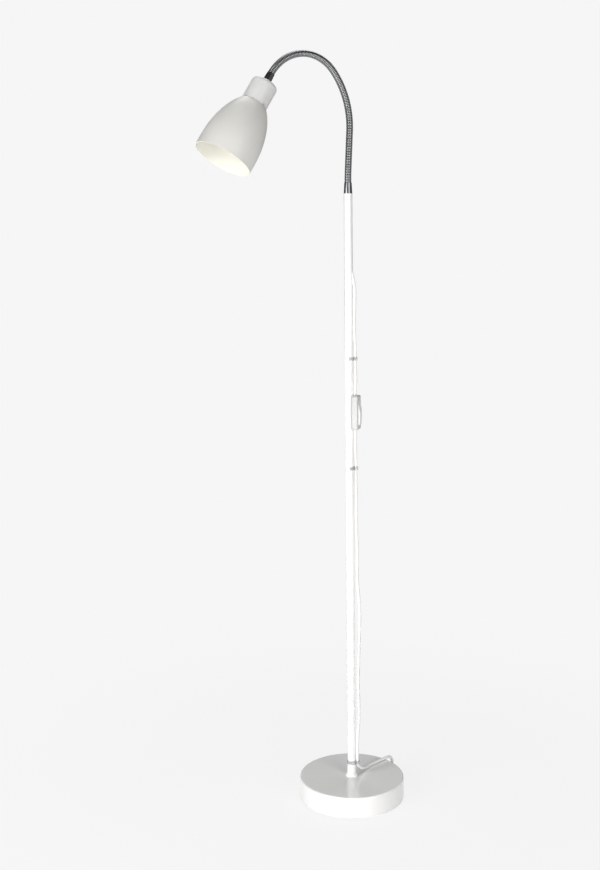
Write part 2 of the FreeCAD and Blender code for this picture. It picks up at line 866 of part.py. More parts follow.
def make_bulb():
    seat = size("bulb_seat")
    cap_radius = size("bulb_cap_radius")
    cap_low = seat + 3.0 + size("bulb_cap_length")
    glass_end = seat + size("bulb_length")
    belly = glass_end - size("bulb_radius")
    glass = turned("bulb_glass", [
        (ZERO, cap_low),
        (cap_radius - 0.4, cap_low),
        (cap_radius + 0.1, cap_low + 6.5),
        (size("bulb_radius") * 0.94, belly - 10.0, size("bulb_radius") * 2.6, False),
        (size("bulb_radius"), belly, size("bulb_radius") * 1.0, True),
        (ZERO, glass_end, size("bulb_radius"), True),
    ], head_place)
    keep(glass, "bulb_glass")
    cap = turned("bulb_cap", [
        (ZERO, seat + 3.0),
        (cap_radius - 3.0, seat + 3.0),
        (cap_radius, seat + 6.0),
        (cap_radius, cap_low),
        (ZERO, cap_low),
    ], head_place)
    keep(cap, "bulb_cap")
    insulator = turned("bulb_insulator", [
        (ZERO, seat + 1.0),
        (stud_radius, seat + 1.0),
        (cap_radius - 3.0, seat + 3.0),
        (ZERO, seat + 3.0),
    ], head_place)
    keep(insulator, "bulb_insulator")
    tip = turned("bulb_tip", disc_outline(stud_radius - 1.0, seat, seat + 1.0), head_place)
    keep(tip, "bulb_tip")


# ---------------------------------------------------------------- cord, clips, switch and plug

# Each cord clip: its height, the direction of its eye, and how far its arms reach round.
CLIP_ABOVE_SWITCH = 101.5
CLIP_BELOW_SWITCH = 107.5
CORD_CLIPS = {
    "upper": (value("switch_height") + CLIP_ABOVE_SWITCH, -33.0, 97.0),
    "middle": (value("switch_height") - CLIP_BELOW_SWITCH, -33.0, 97.0),
    "lower": (65.0, -53.0, 145.0),
}
CLIP_EAR = 1.0

cord_offset = size("cord_offset")


def make_clips():
    """Each clip is a spring C round the pole with a small eye that holds the cord."""
    height = size("clip_height")
    inner = pole_radius + gap
    outer = inner + size("clip_wall")
    eye = size("cord_radius") + size("clip_loop_gap")
    for name, (middle, facing, reach) in CORD_CLIPS.items():
        low = middle - value("clip_height") / 2
        turn = about_z(facing)
        spot = Placement(Vector(0, 0, low), turn)
        eye_spot = Placement(turn.multVec(Vector(cord_offset.value, 0, low)), turn)
        band = cylinder("clip_band_" + name, outer, height, spot)
        loop = cylinder("clip_loop_" + name, eye + size("clip_wall"), height, eye_spot)
        body = fuse("clip_body_" + name, band, loop)
        # The mouth of the C is what lies past the reach of the arms.
        past = outer.value * math.cos(math.radians(reach))
        corner = Placement(turn.multVec(Vector(past - 20.0, -20.0, low)), turn)
        mouth = block("clip_mouth_" + name, as_size(20.0), as_size(40.0), height, corner)
        body = cut("clip_open_" + name, body, mouth)
        # The tips of the arms turn outward.
        for side in (1, -1):
            tip = about_z(facing + side * (reach - 5.0))
            where = Placement(tip.multVec(Vector(outer.value, 0, low)), tip)
            ear = cylinder("clip_ear_%s_%d" % (name, side + 1), as_size(CLIP_EAR), height, where)
            body = fuse("clip_eared_%s_%d" % (name, side + 1), body, ear)
        bore = cylinder("clip_bore_" + name, inner, height, spot)
        hole = cylinder("clip_hole_" + name, eye, height, eye_spot)
        body = cut("clip_bored_" + name, body, bore)
        keep(cut("cord_clip_" + name, body, hole), "cord_clip_" + name)


switch_back_out = pole_radius + size("seat_gap") * 1.3
switch_split = switch_back_out + size("switch_back_depth")
switch_face = switch_split + size("switch_front_depth")


def side_place(out, up):
    """A placement beside the pole, whose Z points outward and whose X points up."""
    turn = about_z(SIDE_ANGLE).multiply(Rotation(Vector(0, 0, 1), Vector(0, 1, 0), Vector(1, 0, 0), "XZY"))
    return Placement(on_side(out, 0, up), turn)


def rounded_block(body, name, length, width, depth):
    """A pad centred on the body's origin."""
    half_length, half_width = length / 2, width / 2
    return padded(body, name, [
        (half_length * -1, half_width * -1),
        (half_length, half_width * -1),
        (half_length, half_width),
        (half_length * -1, half_width),
    ], depth)


# The rocker rests with its upper end pressed in.
ROCKER_TILT = 4.0


def make_switch():
    height = value("switch_height")
    length, width = size("switch_length"), size("switch_width")
    corner = size("switch_corner")
    front_depth, back_depth = size("switch_front_depth"), size("switch_back_depth")
    up, across = size("screw_up"), size("screw_across")
    spots = [(up, across), (up * -1, across * -1)]
    screw_radius, head_radius = size("screw_radius"), size("screw_head_radius")
    head_depth = size("screw_head_depth")
    back_place = side_place(switch_back_out.value, height)
    front_place = side_place(switch_split.value, height)

    back = new_body("switch_back")
    rounded_block(back, "back_block", length, width, back_depth)
    rounded(back, "back_corners", corner * 1.5,
            lambda edge, spot: abs(spot.z - back_depth.value / 2) < 0.01)
    rounded(back, "back_edges", corner * 0.5, lambda edge, spot: spot.z < 0.01)
    drilled(back, "screw_holes", spots, screw_radius + gap, ZERO, back_depth)
    drilled(back, "screw_seats", spots, head_radius + gap, ZERO, head_depth + size("seat_gap"))
    back.Placement = back_place
    keep(back, "switch_back")

    front = new_body("switch_front")
    rounded_block(front, "front_block", length, width, front_depth)
    rounded(front, "front_corners", corner * 1.5,
            lambda edge, spot: abs(spot.z - front_depth.value / 2) < 0.01)
    rounded(front, "front_edges", corner, lambda edge, spot: spot.z > front_depth.value - 0.01)
    half_length = size("rocker_length") / 2 + size("rocker_gap")
    half_width = size("rocker_width") / 2 + size("rocker_gap")
    sketch = add_profile(front, "well_outline", "XY_Plane", [
        (half_length * -1, half_width * -1),
        (half_length, half_width * -1),
        (half_length, half_width),
        (half_length * -1, half_width),
    ])
    sketch.setExpression("AttachmentOffset.Base.z", (front_depth - size("rocker_well_depth")).text)
    well = front.newObject("PartDesign::Pocket", "rocker_well")
    well.Profile = sketch
    bind(well, "Length", size("rocker_well_depth"))
    well.Reversed = True
    front.Tip = well
    low = front_depth - size("rocker_depth")
    pin_reach = size("rocker_width") + size("rocker_pin_reach") * 2
    drilled(front, "pin_hole", [(ZERO, low)], size("rocker_pin_radius") + gap, ZERO,
            pin_reach + gap * 2, "XZ_Plane", True)
    drilled(front, "screw_bores", spots, screw_radius + gap, ZERO,
            size("screw_length") - back_depth)
    front.Placement = front_place
    keep(front, "switch_front")

    screws = []
    head_low = size("seat_gap")
    for name, (x, y) in zip(("upper", "lower"), spots):
        where = back_place.multiply(Placement(Vector(x.value, y.value, head_low.value), Rotation()))
        head = cylinder("screw_head_" + name, head_radius, head_depth, where)
        shank = cylinder("screw_shank_" + name, screw_radius, size("screw_length") - head_low, where)
        screws.append(fuse("screw_" + name, head, shank))
    pair = doc.addObject("Part::Compound", "switch_screws")
    pair.Links = screws
    keep(pair, "switch_screws")

    # The rocker has an arched top and a shallow keel, and tips about a pin across the switch.
    rocker = new_body("switch_rocker")
    half = size("rocker_length") / 2
    top = front_depth + 0.4
    rise = size("rocker_rise") - 0.4
    arch = (half * half + rise * rise) / (rise * 2)
    pad = padded(rocker, "rocker_block", [
        (half * -1, low),
        (as_size(-4.0), low - 1.6),
        (as_size(4.0), low - 1.6),
        (half, low),
        (half, top),
        (half * -1, top, arch, True),
    ], size("rocker_width"), "XZ_Plane")
    pad.Midplane = True
    sketch = rocker.newObject("Sketcher::SketchObject", "pin_outline")
    sketch.AttachmentSupport = (origin_plane(rocker, "XZ_Plane"), [""])
    sketch.MapMode = "FlatFace"
    pin = size("rocker_pin_radius")
    sketch.addGeometry(Part.Circle(Vector(0, low.value, 0), Vector(0, 0, 1), pin.value), False)
    sketch.addConstraint(Sketcher.Constraint("PointOnObject", 0, 3, -2))
    for kind, length, name in (("DistanceY", low, "pin_height"), ("Radius", pin, "pin_radius")):
        where = (-1, 1, 0, 3) if kind == "DistanceY" else (0,)
        mark = sketch.addConstraint(Sketcher.Constraint(kind, *where, length.value))
        sketch.renameConstraint(mark, name)
        sketch.setExpression("Constraints." + name, length.text)
    pins = rocker.newObject("PartDesign::Pad", "rocker_pin")
    pins.Profile = sketch
    bind(pins, "Length", pin_reach)
    pins.Midplane = True
    rocker.Tip = pins
    hinge = Vector(0, 0, low.value)
    tilt = Placement(Vector(0, 0, 0), Rotation(Vector(0, 1, 0), ROCKER_TILT), hinge)
    rocker.Placement = front_place.multiply(tilt)
    keep(rocker, "switch_rocker")


def straight_and_round(points):
    """A wire of straight runs joined by tangent arcs, each as large as its two runs allow."""
    edges = []
    radii = []
    spots = [Vector(*p) for p in points]
    last = spots[0]
    for before, corner, after in zip(spots, spots[1:], spots[2:]):
        near, far = corner - before, after - corner
        turn = near.getAngle(far)
        reach = 0.45 * min(near.Length, far.Length)
        radii.append(reach / math.tan(turn / 2))
        near.normalize()
        far.normalize()
        start = corner - near * reach
        end = corner + far * reach
        # The middle of the arc lies on the line from the corner to its centre.
        inward = (far - near).normalize()
        sag = radii[-1] * (1 / math.cos(turn / 2) - 1)
        edges.append(Part.LineSegment(last, start).toShape())
        edges.append(Part.Arc(start, corner + inward * sag, end).toShape())
        last = end
    edges.append(Part.LineSegment(last, spots[-1]).toShape())
    return Part.Wire(edges), radii


def swept(wire, radius):
    """A round tube, solid right through, along a wire."""
    start = wire.OrderedEdges[0]
    along = start.tangentAt(start.FirstParameter)
    spot = start.valueAt(start.FirstParameter)
    if wire.OrderedVertexes[0].Point.distanceToPoint(spot) > 1e-6:
        along = start.tangentAt(start.LastParameter) * -1
        spot = start.valueAt(start.LastParameter)
    ring = Part.Wire([Part.Circle(spot, along, radius).toShape()])
    return wire.makePipeShell([ring], True, False)


def cord(label, points):
    """A free stretch of cord, and a line of print that gives its bends, length and volume."""
    wire, radii = straight_and_round(points)
    print(label, "bend radii:", " ".join("%.0f" % r for r in radii))
    shape = swept(wire, value("cord_radius"))
    solid(label, shape)
    section = math.pi * value("cord_radius") ** 2
    print("%s: length %.0f mm, least bend radius %.1f mm, volume %.4f of section times length" % (
        label, wire.Length, min(radii), shape.Volume / (section * wire.Length)))
    return wire.Length


def down_slant(distance):
    """A point beside the pole, the given distance out of the sleeve along its axis."""
    slant = math.radians(OUTLET_SLANT)
    return outlet_out() + distance * math.sin(slant), OUTLET_HEIGHT - distance * math.cos(slant)


def beside(out, angle, up):
    """A point at a distance from the pole's axis, in a direction, at a height."""
    return about_z(angle).multVec(Vector(out, 0, up))


# Points of the cord beside the pole, chosen by hand: (distance out, direction, height).
# The upper heights are from the middle of the switch.
UPPER_ROUTE = [
    (11.9, -53, 209.5), (11.2, -57, 179.5), (11.1, -55, 151.5), (11.6, -33, 122.5),
    (11.6, -33, 80.5), (13.0, -42, 58.5),
]
UNDER_SWITCH = [(11.6, -33, -87.5), (11.6, -33, -129.5)]
LOWER_ROUTE = [
    (12.2, -43, 568), (12.7, -53, 516), (14.6, -52, 470),
    (12.9, -53, 426), (18.9, -54, 368), (16.8, -53, 308), (15.2, -52, 262), (14.0, -53, 215),
    (16.2, -54, 158), (12.3, -53, 112), (11.6, -53, 86), (11.6, -53, 58),
]
LOWER_ROUTE_SPAN = 573.0
# Points of the cord round the base: (across, backwards, height).
BASE_ROUTE = [
    (13.6, -1.0, 48.5), (20.0, 5.2, 42.2), (27, 19.5, 41.2), (33.5, 34, 41.2), (45, 47.5, 41.2),
    (56, 60, 42), (64.5, 67.2, 46.2), (72, 75.5, 46.2), (78.5, 83, 38.5), (81.5, 88.5, 26),
    (79.5, 96, 14.5), (69.5, 102.3, 9.9),
]


# ---------------------------------------------------------------- hank

# The put-away length lies behind the base as an oval hank: two layers of two loops, one loop
# inside the other, tied on both sides.
HANK_CENTRE = (9.0, 124.5)
HANK_HALF_RUN = 27.0
HANK_OUTER = 22.2
HANK_FLOOR_GAP = 1.2
HANK_LOOP_GAP = 0.6
HANK_OUTER_PINCH = 3.0
HANK_INNER_PINCH = 4.0
HANK_LEADS = (10.8, 5.4)
hank_step = 2 * value("cord_radius") + HANK_LOOP_GAP
hank_low = value("cord_radius") + HANK_FLOOR_GAP
hank_high = hank_low + hank_step
HANK_INNER = HANK_OUTER - hank_step


def hank_point(along, across, up):
    """A point of the hank: along its runs to the right, backwards across them, and up."""
    return behind(HANK_CENTRE[0] + along, HANK_CENTRE[1] + across, up)


hank_start = hank_point(HANK_HALF_RUN + HANK_LEADS[0], -HANK_OUTER, hank_high)
hank_finish = hank_point(-HANK_HALF_RUN - HANK_LEADS[1], -HANK_OUTER, hank_low)


def hank_stations():
    """Points and level directions of the hank's line. Each run is (offset, height at its start,
    height at its end); near runs go left and far runs go right, with a half turn between."""
    high, low, outer, inner = hank_high, hank_low, HANK_OUTER, HANK_INNER
    runs = [
        (-outer, high, high), (outer, high, high), (-inner, high, high), (inner, high, low),
        (-inner, low, low), (outer, low, low), (-outer, low, low),
    ]
    half = HANK_HALF_RUN
    stations = [((half + HANK_LEADS[0], -outer, high), (-1, 0))]
    for i, (offset, first, last) in enumerate(runs):
        way = -1 if offset < 0 else 1
        pinch = HANK_OUTER_PINCH if abs(offset) == outer else HANK_INNER_PINCH
        waist = offset + pinch * (1 if offset < 0 else -1)
        stations.append(((-way * half, offset, first), (way, 0)))
        stations.append(((0, waist, (first + last) / 2), (way, 0)))
        stations.append(((way * half, offset, last), (way, 0)))
        if i + 1 < len(runs):
            after = runs[i + 1][0]
            radius = abs(after - offset) / 2
            turn = ((way * (half + radius), (offset + after) / 2, last), (0, -way))
            stations.append(turn)
    stations.append(((-half - HANK_LEADS[1], -outer, low), (-1, 0)))
    return stations


def biarc(start, heading, end, tail):
    """Two tangent arcs from one point and direction to another."""
    gap_line = end - start
    both = heading + tail
    a = 2 * (1 - heading.dot(tail))
    b = 2 * gap_line.dot(both)
    c = -gap_line.dot(gap_line)
    if abs(a) < 1e-9:
        reach = -c / b
    else:
        reach = (-b + math.sqrt(b * b - 4 * a * c)) / (2 * a)
    middle = (start + end + (heading - tail) * reach) * 0.5
    edges = []
    for first, way, last, sense in ((start, heading, middle, 1), (end, tail * -1, middle, -1)):
        chord = last - first
        square = chord - way * chord.dot(way)
        if square.Length < 1e-7:
            edge = Part.LineSegment(first, last) if sense > 0 else Part.LineSegment(last, first)
            edges.append(edge.toShape())
            continue
        normal = square.normalize()
        radius = chord.dot(chord) / (2 * chord.dot(normal))
        centre = first + normal * radius
        outward = ((first + last) * 0.5 - centre).normalize()
        if chord.dot(way) < 0:
            outward = outward * -1
        top = centre + outward * radius
        edge = Part.Arc(first, top, last) if sense > 0 else Part.Arc(last, top, first)
        edges.append(edge.toShape())
    return edges


def least_gap(wire):
    """Smallest gap between two parts of a tube's surface that are not beside each other along it."""
    spots = wire.discretize(Number=500)
    step = wire.Length / 499
    apart = int(6 * value("cord_radius") / step)
    least = min(
        spots[i].distanceToPoint(spots[j])
        for i in range(len(spots)) for j in range(i + apart, len(spots))
    )
    return least - 2 * value("cord_radius")


def make_hank():
    spots = [(hank_point(*point), behind(way[0], way[1], 0)) for point, way in hank_stations()]
    edges = []
    for (start, heading), (end, tail) in zip(spots, spots[1:]):
        edges += biarc(start, heading, end, tail)
    wire = Part.Wire(edges)
    shape = swept(wire, value("cord_radius"))
    solid("cord_hank", shape)
    section = math.pi * value("cord_radius") ** 2
    print("cord_hank: length %.0f mm, least gap %.2f mm, volume %.4f of section times length" % (
        wire.Length, least_gap(wire), shape.Volume / (section * wire.Length)))

    # Each side of the hank has a closed strap round its strands.
    ties = []
    for name, side in (("near", -1), ("far", 1)):
        ties.append(strap(name, side * (HANK_OUTER + HANK_INNER - HANK_OUTER_PINCH - HANK_INNER_PINCH) / 2))
    pair = doc.addObject("Part::Compound", "hank_ties")
    pair.Links = ties
    keep(pair, "hank_ties")


def strap(name, offset):
    """A closed strap round one side's strands at the hank's waist."""
    tie = new_body(name + "_tie")
    spread = hank_step + HANK_INNER_PINCH - HANK_OUTER_PINCH
    half_width = size("cord_radius") + spread / 2 + 0.35
    half_height = size("cord_radius") + hank_step / 2 + 0.2
    thick = size("tie_thickness")
    outer_width, outer_height = half_width + thick, half_height + thick
    padded(tie, name + "_tie_block", [
        (outer_width * -1, outer_height * -1),
        (outer_width, outer_height * -1),
        (outer_width, outer_height),
        (outer_width * -1, outer_height),
    ], size("tie_width"))
    middle = value("tie_width") / 2
    rounded(tie, name + "_tie_outside", thick + 1.4, lambda edge, spot: abs(spot.z - middle) < 0.01)
    sketch = add_profile(tie, name + "_tie_opening", "XY_Plane", [
        (half_width * -1, half_height * -1),
        (half_width, half_height * -1),
        (half_width, half_height),
        (half_width * -1, half_height),
    ])
    opening = tie.newObject("PartDesign::Pocket", name + "_tie_hole")
    opening.Profile = sketch
    bind(opening, "Length", size("tie_width"))
    opening.Reversed = True
    tie.Tip = opening
    rounded(tie, name + "_tie_inside", as_size(1.4),
            lambda edge, spot: abs(spot.z - middle) < 0.01
            and abs(spot.x) < half_width.value + 0.01 and abs(spot.y) < half_height.value + 0.01
            and edge.Length > middle)
    spot = hank_point(-middle, offset, (hank_low + hank_high) / 2)
    turn = Rotation(behind(0, 1, 0), Vector(0, 0, 1), behind(1, 0, 0), "XZY")
    tie.Placement = Placement(spot, turn)
    return tie


# ---------------------------------------------------------------- plug

# The plug lies on the floor behind the base. Its cord end is at this spot, pointing this way.
PLUG_SPOT = (-40.0, 101.0)
PLUG_HEADING = 200.0
plug_height = value("plug_thickness") / 2


def plug_way():
    turn = math.radians(PLUG_HEADING)
    return behind(math.cos(turn), math.sin(turn), 0)


def plug_spot(distance):
    """A point on the plug's axis, at a distance along it from the end of the bend relief."""
    return behind(PLUG_SPOT[0], PLUG_SPOT[1], plug_height) + plug_way() * distance


def plug_place(distance):
    """A placement on the plug's axis, with Z along it and X up."""
    return Placement(plug_spot(distance), Rotation(Vector(0, 0, 1), Vector(), plug_way(), "XZY"))


def make_plug():
    relief = turned("plug_relief", [
        (ZERO, ZERO),
        (size("relief_end_radius"), ZERO),
        (size("relief_root_radius"), size("relief_length")),
        (ZERO, size("relief_length")),
    ], plug_place(0))
    keep(relief, "plug_relief")

    body = new_body("plug_body")
    length = size("plug_length")
    thickness, width = size("plug_thickness"), size("plug_width")
    rounded_block(body, "plug_block", thickness, width, length)
    rounded(body, "plug_corners", size("plug_corner"),
            lambda edge, spot: abs(spot.z - length.value / 2) < 0.01)
    rounded(body, "plug_back_edges", size("plug_corner") * 0.6, lambda edge, spot: spot.z < 0.01)
    half_thick, half_wide = size("blade_thickness") / 2 + gap, size("blade_width") / 2 + gap
    slot_low = length - size("blade_seat")
    for name, side in (("first", 1), ("second", -1)):
        middle = size("blade_spacing") / 2 * side
        sketch = add_profile(body, name + "_slot_outline", "XY_Plane", [
            (half_wide * -1, middle - half_thick),
            (half_wide, middle - half_thick),
            (half_wide, middle + half_thick),
            (half_wide * -1, middle + half_thick),
        ])
        sketch.setExpression("AttachmentOffset.Base.z", slot_low.text)
        slot = body.newObject("PartDesign::Pocket", name + "_slot")
        slot.Profile = sketch
        bind(slot, "Length", size("blade_seat"))
        slot.Reversed = True
        body.Tip = slot
    body.Placement = plug_place(value("relief_length"))
    keep(body, "plug_body")

    blades = []
    for name, side in (("first", 1), ("second", -1)):
        corner = Vector(-value("blade_width") / 2,
                        side * value("blade_spacing") / 2 - value("blade_thickness") / 2,
                        slot_low.value)
        place = plug_place(value("relief_length")).multiply(Placement(corner, Rotation()))
        blades.append(block(name + "_blade", size("blade_width"), size("blade_thickness"),
                            size("blade_length") + size("blade_seat"), place))
    pair = doc.addObject("Part::Compound", "plug_blades")
    pair.Links = blades
    keep(pair, "plug_blades")


def make_cords():
    """The free stretches: bush to switch, switch to hank, and hank to plug."""
    top = value("switch_height") + value("switch_length") / 2
    low = value("switch_height") - value("switch_length") / 2
    out = switch_split.value
    slanted = [down_slant(0), down_slant(9)]
    points = [on_side(o, 0, z) for o, z in slanted]
    middle = value("switch_height")
    points += [beside(o, angle, middle + z) for o, angle, z in UPPER_ROUTE]
    points += [on_side(out, 0, top + 15), on_side(out, 0, top)]
    cord("cord_upper", points)

    points = [on_side(out, 0, low), on_side(out, 0, low - 18)]
    points += [beside(o, angle, middle + z) for o, angle, z in UNDER_SWITCH]
    # The free heights stretch with the clips at their two ends.
    foot, head = CORD_CLIPS["lower"][0], CORD_CLIPS["middle"][0]
    stretch = (head - foot) / LOWER_ROUTE_SPAN
    points += [beside(o, angle, foot + (z - foot) * stretch) for o, angle, z in LOWER_ROUTE]
    points += [behind(*p) for p in BASE_ROUTE]
    points += [hank_start]
    cord("cord_lower", points)

    points = [hank_finish, hank_finish + behind(-5.6, 0, 0), plug_spot(-5.5), plug_spot(0)]
    cord("cord_tail", points)


for maker in (make_base, make_pole, make_gooseneck, make_neck, make_lampholder, make_shade,
              make_bulb, make_clips, make_switch, make_cords, make_hank, make_plug):
    maker()
doc.recompute()

failed = [o.Name for o in doc.Objects if "Invalid" in o.State or "Error" in o.State]
if failed:
    raise RuntimeError("failed objects: %s" % ", ".join(failed))
for label, obj in MADE:
    shape = obj.Shape
    if shape.isNull() or not shape.isValid():
        raise RuntimeError("bad shape: " + label)
    shape.exportStep("parts/%s.step" % label)
print("%d nodes" % len(MADE))
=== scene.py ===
import math

import bpy
from mathutils import Matrix, Vector


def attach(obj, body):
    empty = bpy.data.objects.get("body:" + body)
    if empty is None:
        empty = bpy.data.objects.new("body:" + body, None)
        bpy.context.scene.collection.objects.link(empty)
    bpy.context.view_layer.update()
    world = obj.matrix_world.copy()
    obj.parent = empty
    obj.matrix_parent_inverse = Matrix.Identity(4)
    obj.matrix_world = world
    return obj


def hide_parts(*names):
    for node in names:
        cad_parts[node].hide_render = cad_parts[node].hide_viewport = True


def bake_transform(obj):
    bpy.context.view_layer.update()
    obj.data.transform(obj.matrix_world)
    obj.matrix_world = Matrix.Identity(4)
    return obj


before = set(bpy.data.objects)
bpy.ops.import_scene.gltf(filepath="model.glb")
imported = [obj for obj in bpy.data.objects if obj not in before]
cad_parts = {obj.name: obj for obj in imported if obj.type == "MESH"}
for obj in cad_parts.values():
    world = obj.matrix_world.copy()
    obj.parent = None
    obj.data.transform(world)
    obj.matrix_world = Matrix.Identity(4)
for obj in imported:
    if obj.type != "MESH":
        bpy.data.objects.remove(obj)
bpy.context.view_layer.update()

# ---------------------------------------------------------------- camera

SWITCH_SIDE = -53            # degrees: the side of the pole that carries the switch
ACROSS = math.radians(-35)   # the direction across the view


def look_from(distance, height, round_to, turn, down, tilt):
    """The place and attitude of the camera: it looks at the pole, turned and tilted a little."""
    round_to, turn, down, tilt = map(math.radians, (round_to, turn, down, tilt))
    place = Vector((distance * math.sin(round_to), -distance * math.cos(round_to), height))
    heading = math.atan2(-place.y, -place.x) + turn
    ahead = Vector((math.cos(down) * math.cos(heading), math.cos(down) * math.sin(heading),
                    -math.sin(down)))
    right = Vector((math.sin(heading), -math.cos(heading), 0))
    up = right.cross(ahead)
    level = right * math.cos(tilt) + up * math.sin(tilt)
    upright = up * math.cos(tilt) - right * math.sin(tilt)
    return Matrix((level, upright, -ahead)).transposed().to_4x4(), place


attitude, place = look_from(distance=2.440, height=1.146, round_to=-35, turn=2.15, down=4.2,
                            tilt=-0.53)
lens = bpy.data.cameras.new("studio_camera")
lens.lens = 53.81
lens.sensor_width = 36
lens.shift_y = -0.16
lens.clip_start = 0.05
camera = bpy.data.objects.new("studio_camera", lens)
camera.matrix_world = Matrix.Translation(place) @ attitude
bpy.context.scene.collection.objects.link(camera)
bpy.context.scene.camera = camera


# ---------------------------------------------------------------- finishes

def shader(name, colour, rough, metal=0.0, **sockets):
    """A new material and a way to add its nodes and links."""
    mat = bpy.data.materials.new(name)
    mat.use_nodes = True
    tree = mat.node_tree
    surface = tree.nodes["Principled BSDF"]
    surface.inputs["Base Color"].default_value = (*colour, 1)
    surface.inputs["Roughness"].default_value = rough
    surface.inputs["Metallic"].default_value = metal
    for socket, value in sockets.items():
        surface.inputs[socket.replace("_", " ")].default_value = value
    return mat, tree, surface


def noise(tree, scale, detail=3.0, squeeze=(1, 1, 1)):
    """Noise over the piece, at a scale in waves per metre."""
    spot = tree.nodes.new("ShaderNodeTexCoord")
    stretch = tree.nodes.new("ShaderNodeMapping")
    stretch.inputs["Scale"].default_value = squeeze
    cloud = tree.nodes.new("ShaderNodeTexNoise")
    cloud.inputs["Scale"].default_value = scale
    cloud.inputs["Detail"].default_value = detail
    tree.links.new(spot.outputs["Object"], stretch.inputs["Vector"])
    tree.links.new(stretch.outputs["Vector"], cloud.inputs["Vector"])
    return cloud.outputs["Fac"]


def vary(tree, surface, socket, source, low, high):
    """The source spread between two values on a socket."""
    spread = tree.nodes.new("ShaderNodeMapRange")
    spread.inputs["From Min"].default_value = 0.3
    spread.inputs["From Max"].default_value = 0.7
    spread.inputs["To Min"].default_value = low
    spread.inputs["To Max"].default_value = high
    tree.links.new(source, spread.inputs["Value"])
    tree.links.new(spread.outputs["Result"], surface.inputs[socket])


def tint(tree, surface, source, dark, light, low=0.3, high=0.7):
    """The colour between two tones by the source."""
    ramp = tree.nodes.new("ShaderNodeValToRGB")
    ramp.color_ramp.elements[0].position = low
    ramp.color_ramp.elements[0].color = (*dark, 1)
    ramp.color_ramp.elements[1].position = high
    ramp.color_ramp.elements[1].color = (*light, 1)
    tree.links.new(source, ramp.inputs["Fac"])
    tree.links.new(ramp.outputs["Color"], surface.inputs["Base Color"])
    return ramp


def relief(tree, surface, source, height, strength=1.0):
    """The source as a bump of a height in metres."""
    bump = tree.nodes.new("ShaderNodeBump")
    bump.inputs["Distance"].default_value = height
    bump.inputs["Strength"].default_value = strength
    tree.links.new(source, bump.inputs["Height"])
    tree.links.new(bump.outputs["Normal"], surface.inputs["Normal"])


def stove_enamel():
    """Smooth white paint with a faint flow texture."""
    mat, tree, surface = shader("stove_enamel", (0.86, 0.86, 0.85), 0.25, Coat_Weight=0.6,
                                Coat_Roughness=0.06)
    tint(tree, surface, noise(tree, 9, 2), (0.85, 0.85, 0.84), (0.87, 0.87, 0.86))
    vary(tree, surface, "Roughness", noise(tree, 25), 0.2, 0.26)
    return mat


HEAD_TOP = Vector((-0.17747, 0, 1.35571))    # a point on the shade's axis
HEAD_WAY = Vector((-0.5548, 0, -0.8320))     # the way that the shade points


def shade_enamel_and_painted_light():
    """Paint that is painted grey outside the shade as painted shade, and a brighter warm cream inside
    it, partly the paint's white and partly painted glow of the lit interior.
    """
    mat, tree, surface = shader("shade_enamel_and_painted_light", (0.7, 0.7, 0.69), 0.38, Coat_Weight=0.15,
                                Coat_Roughness=0.25)
    top, way = HEAD_TOP, HEAD_WAY
    spot = tree.nodes.new("ShaderNodeTexCoord")

    def vector(kind, first, second=None):
        step = tree.nodes.new("ShaderNodeVectorMath")
        step.operation = kind
        for socket, value in zip(step.inputs, (first, second)):
            if isinstance(value, Vector):
                socket.default_value = value
            elif value is not None:
                tree.links.new(value, socket)
        return step.outputs["Value" if kind == "DOT_PRODUCT" else "Vector"]

    from_axis = vector("SUBTRACT", spot.outputs["Object"], top)
    along = tree.nodes.new("ShaderNodeVectorMath")
    along.operation = "SCALE"
    along.inputs[0].default_value = way
    tree.links.new(vector("DOT_PRODUCT", from_axis, way), along.inputs["Scale"])
    outwards = vector("SUBTRACT", from_axis, along.outputs["Vector"])
    facing = vector("DOT_PRODUCT", vector("NORMALIZE", outwards), spot.outputs["Normal"])
    # Painted light: the inner face is painted a bright warm cream as a painted glow, and the outer
    # face grey as painted shade of the same white paint.
    inside_glow_outside_shade = tree.nodes.new("ShaderNodeValToRGB")
    inside_glow_outside_shade.color_ramp.elements[0].position = 0.0
    inside_glow_outside_shade.color_ramp.elements[0].color = (0.91, 0.90, 0.83, 1)
    inside_glow_outside_shade.color_ramp.elements[1].position = 0.12
    inside_glow_outside_shade.color_ramp.elements[1].color = (0.66, 0.655, 0.625, 1)
    tree.links.new(facing, inside_glow_outside_shade.inputs["Fac"])
    mottle = tree.nodes.new("ShaderNodeMix")
    mottle.data_type = "RGBA"
    mottle.blend_type = "MULTIPLY"
    mottle.inputs["Factor"].default_value = 1.0
    tone = tree.nodes.new("ShaderNodeValToRGB")
    tone.color_ramp.elements[0].position = 0.3
    tone.color_ramp.elements[0].color = (0.965, 0.965, 0.965, 1)
    tone.color_ramp.elements[1].position = 0.7
    tree.links.new(noise(tree, 30, 2), tone.inputs["Fac"])
    tree.links.new(inside_glow_outside_shade.outputs["Color"], mottle.inputs["A"])
    tree.links.new(tone.outputs["Color"], mottle.inputs["B"])
    tree.links.new(mottle.outputs["Result"], surface.inputs["Base Color"])
    vary(tree, surface, "Roughness", noise(tree, 70), 0.34, 0.46)
    return mat


def bright_chrome():
    """Plated steel with faint wipe marks."""
    mat, tree, surface = shader("bright_chrome", (0.26, 0.265, 0.27), 0.1, 1.0)
    tint(tree, surface, noise(tree, 30), (0.16, 0.165, 0.17), (0.2, 0.205, 0.21))
    vary(tree, surface, "Roughness", noise(tree, 240), 0.06, 0.14)
    return mat


